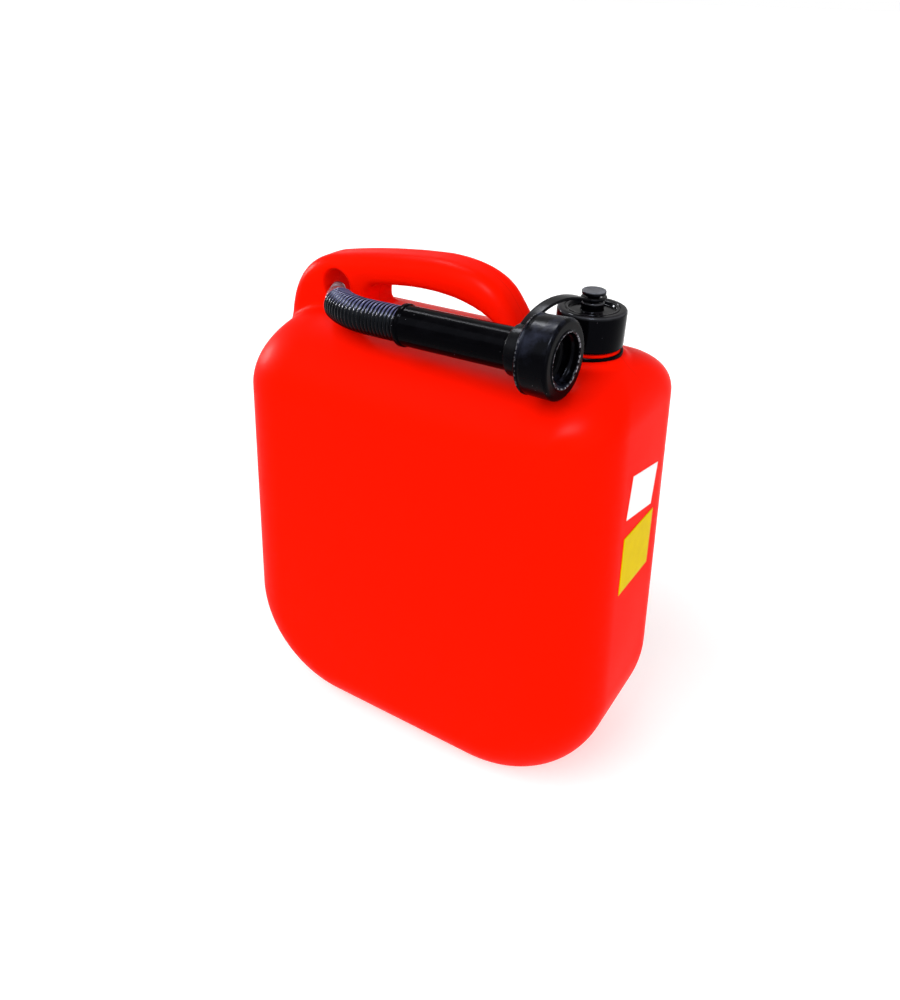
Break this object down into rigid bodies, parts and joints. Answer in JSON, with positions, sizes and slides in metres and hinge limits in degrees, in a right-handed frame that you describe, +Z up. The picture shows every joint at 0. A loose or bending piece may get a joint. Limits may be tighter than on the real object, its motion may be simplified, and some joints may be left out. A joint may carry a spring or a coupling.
{
  "type": "fuel can",
  "caption": "Plastic fuel can with a loop handle, a threaded neck with tethered screw cap, and a bendable pouring spout stored along the front of the handle.",
  "frame": {"origin": "middle of the flat base, on the surface that the can stands on", "axes": "+Z up, +X towards the filler neck, -Y towards the front broad face along which the spout is stored"},
  "size_m": [0.294, 0.152, 0.356],
  "materials": {
    "red_plastic": "satin-gloss blow-moulded polyethylene",
    "black_plastic": "smooth moulded plastic, lightly scuffed",
    "nut_plastic": "smooth moulded plastic with a thin film of dust",
    "hose_plastic": "corrugated flexible plastic",
    "strap_plastic": "flexible moulded plastic",
    "seal_rubber": "smooth matt rubber",
    "white_paper": "coated paper sticker, blank",
    "yellow_film": "plastic film sticker, blank"
  },
  "bodies": {
    "can": {"can_body": "red_plastic", "neck_ring": "black_plastic", "white_label": "white_paper", "yellow_label": "yellow_film"},
    "cap_lifter": {"cap_seal": "seal_rubber"},
    "cap": {"screw_cap": "black_plastic", "strap_rivet": "black_plastic"},
    "nozzle": {"spout_nozzle": "hose_plastic"},
    "hose_1": {"hose_ring_1": "hose_plastic"},
    "hose_2": {"hose_ring_2": "hose_plastic"},
    "hose_3": {"hose_ring_3": "hose_plastic"},
    "hose_4": {"hose_ring_4": "hose_plastic"},
    "hose_5": {"hose_ring_5": "hose_plastic"},
    "tube": {"hose_straight": "hose_plastic", "spout_tube": "black_plastic", "nut_gasket": "seal_rubber"},
    "nut": {"spout_nut": "nut_plastic"},
    "strap": {"tether_strap": "strap_plastic"}
  },
  "joints": [
    {"name": "cap_lift", "type": "slide", "parent": "can", "child": "cap_lifter", "axis": [0, 0, 1], "range_m": [0, 0.0075], "deforming": ["tether_strap"]},
    {"name": "cap_turn", "type": "hinge", "parent": "cap_lifter", "child": "cap", "pos_m": [0.0923, 0, 0.33], "axis": [0, 0, 1], "range_deg": [0, 541]},
    {"name": "spout_pull", "type": "slide", "parent": "can", "child": "nozzle", "axis": [0, -1, 0], "range_m": [0, 0.06], "deforming": ["tether_strap"]},
    {"name": "hose_bend_1", "type": "hinge", "parent": "nozzle", "child": "hose_1", "pos_m": [-0.07255, -0.02797, 0.32399], "axis": [0.0436, 0, -0.9991], "range_deg": [0, 8.5], "deforming": ["tether_strap"]},
    {"name": "hose_bend_2", "type": "hinge", "parent": "hose_1", "child": "hose_2", "pos_m": [-0.06629, -0.03432, 0.32427], "axis": [0.0436, 0, -0.9991], "range_deg": [0, 8.8]},
    {"name": "hose_bend_3", "type": "hinge", "parent": "hose_2", "child": "hose_3", "pos_m": [-0.05916, -0.03968, 0.32458], "axis": [0.0436, 0, -0.9991], "range_deg": [0, 8.8]},
    {"name": "hose_bend_4", "type": "hinge", "parent": "hose_3", "child": "hose_4", "pos_m": [-0.05132, -0.04392, 0.32492], "axis": [0.0436, 0, -0.9991], "range_deg": [0, 8.8]},
    {"name": "hose_bend_5", "type": "hinge", "parent": "hose_4", "child": "hose_5", "pos_m": [-0.04293, -0.04696, 0.32528], "axis": [0.0436, 0, -0.9991], "range_deg": [0, 8.8]},
    {"name": "hose_bend_6", "type": "hinge", "parent": "hose_5", "child": "tube", "pos_m": [-0.03419, -0.04872, 0.32567], "axis": [0.0436, 0, -0.9991], "range_deg": [0, 8.8]},
    {"name": "nut_turn", "type": "hinge", "parent": "tube", "child": "nut", "pos_m": [0.08411, -0.05464, 0.33082], "axis": [0.9978, -0.05, 0.0435], "continuous": true},
    {"name": "strap_swing", "type": "hinge", "parent": "tube", "child": "strap", "pos_m": [0.07313, -0.05409, 0.33035], "axis": [0.9978, -0.05, 0.0435], "range_deg": [0, 8]}
  ],
  "couplings": [
    {"joint": "cap_turn", "follows": "cap_lift", "rad_per_m": 1256.6},
    {"joint": "strap_swing", "follows": "cap_lift", "rad_per_m": 18.43},
    {"joint": "hose_bend_2", "follows": "hose_bend_1", "ratio": 1},
    {"joint": "hose_bend_3", "follows": "hose_bend_1", "ratio": 1},
    {"joint": "hose_bend_4", "follows": "hose_bend_1", "ratio": 1},
    {"joint": "hose_bend_5", "follows": "hose_bend_1", "ratio": 1},
    {"joint": "hose_bend_6", "follows": "hose_bend_1", "ratio": 1}
  ]
}
